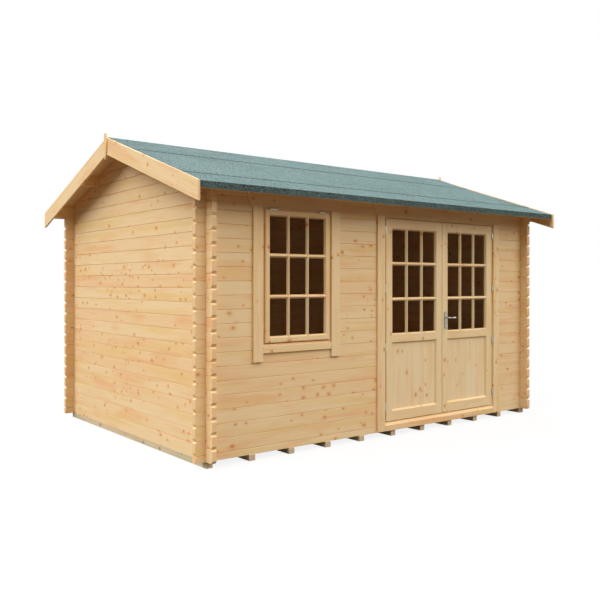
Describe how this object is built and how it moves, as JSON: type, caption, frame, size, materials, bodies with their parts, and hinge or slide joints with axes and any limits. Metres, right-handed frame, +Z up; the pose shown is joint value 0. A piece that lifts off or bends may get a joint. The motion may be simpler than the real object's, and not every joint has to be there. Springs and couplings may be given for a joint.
{
  "type": "log cabin",
  "caption": "Log cabin of interlocking logs on treated bearers, with a felted pitched roof, a framed window and a pair of glazed doors that open outwards.",
  "frame": {"origin": "centre of the footprint, on the underside of the bearers", "axes": "+X along the front to the right as seen from outside, -Y out of the front, +Z up"},
  "size_m": [4.5804, 3.356, 2.8321],
  "materials": {
    "pine": "planed, unpainted, knotty",
    "treated_timber": "sawn, pressure treated",
    "roof_boards": "planed softwood boards",
    "floor_boards": "planed softwood boards",
    "planed_boards": "planed, unpainted",
    "joinery": "planed and sanded",
    "mineral_felt": "green mineral-faced roofing felt",
    "glass": "clear float glass",
    "hinge_steel": "zinc-plated",
    "handle_metal": "satin"
  },
  "bodies": {
    "cabin": {"back_felt": "mineral_felt", "back_roof_boards": "roof_boards", "back_wall": "pine", "bearers": "treated_timber", "door_frame": "joinery", "door_head_board": "planed_boards", "door_hinge_pins": "hinge_steel", "door_threshold": "planed_boards", "door_trims": "planed_boards", "eave_strips": "roof_boards", "finials": "planed_boards", "floor": "floor_boards", "front_felt": "mineral_felt", "front_foot_log": "pine", "front_roof_boards": "roof_boards", "front_wall_left": "pine", "front_wall_pier": "pine", "front_wall_right": "pine", "front_wall_top": "pine", "front_wall_under_window": "pine", "left_barge_boards": "planed_boards", "left_gable": "pine", "left_wall": "pine", "purlins": "pine", "ridge_felt": "mineral_felt", "right_barge_boards": "planed_boards", "right_gable": "pine", "right_wall": "pine", "window_frame": "joinery", "window_glass": "glass", "window_head_board": "planed_boards", "window_hinges": "hinge_steel", "window_sash": "joinery", "window_sill_board": "planed_boards", "window_trims": "planed_boards"},
    "left_leaf": {"left_door": "joinery", "left_door_panel": "joinery", "left_door_glass": "glass", "left_hinge_sleeves": "hinge_steel"},
    "right_leaf": {"right_door": "joinery", "right_door_panel": "joinery", "right_door_glass": "glass", "right_hinge_sleeves": "hinge_steel", "door_handle_plates": "handle_metal"},
    "lever": {"door_lever": "handle_metal"}
  },
  "joints": [
    {"name": "left_door_hinge", "type": "hinge", "parent": "cabin", "child": "left_leaf", "pos_m": [-0.102, -1.429, 1], "axis": [0, 0, -1], "range_deg": [0, 120]},
    {"name": "right_door_hinge", "type": "hinge", "parent": "cabin", "child": "right_leaf", "pos_m": [1.5, -1.429, 1], "axis": [0, 0, 1], "range_deg": [0, 120]},
    {"name": "door_lever_pivot", "type": "hinge", "parent": "right_leaf", "child": "lever", "pos_m": [0.75, -1.425, 1.106], "axis": [0, 1, 0], "range_deg": [0, 40], "stiffness_Nm_per_rad": 1, "springref_deg": -28.65}
  ]
}
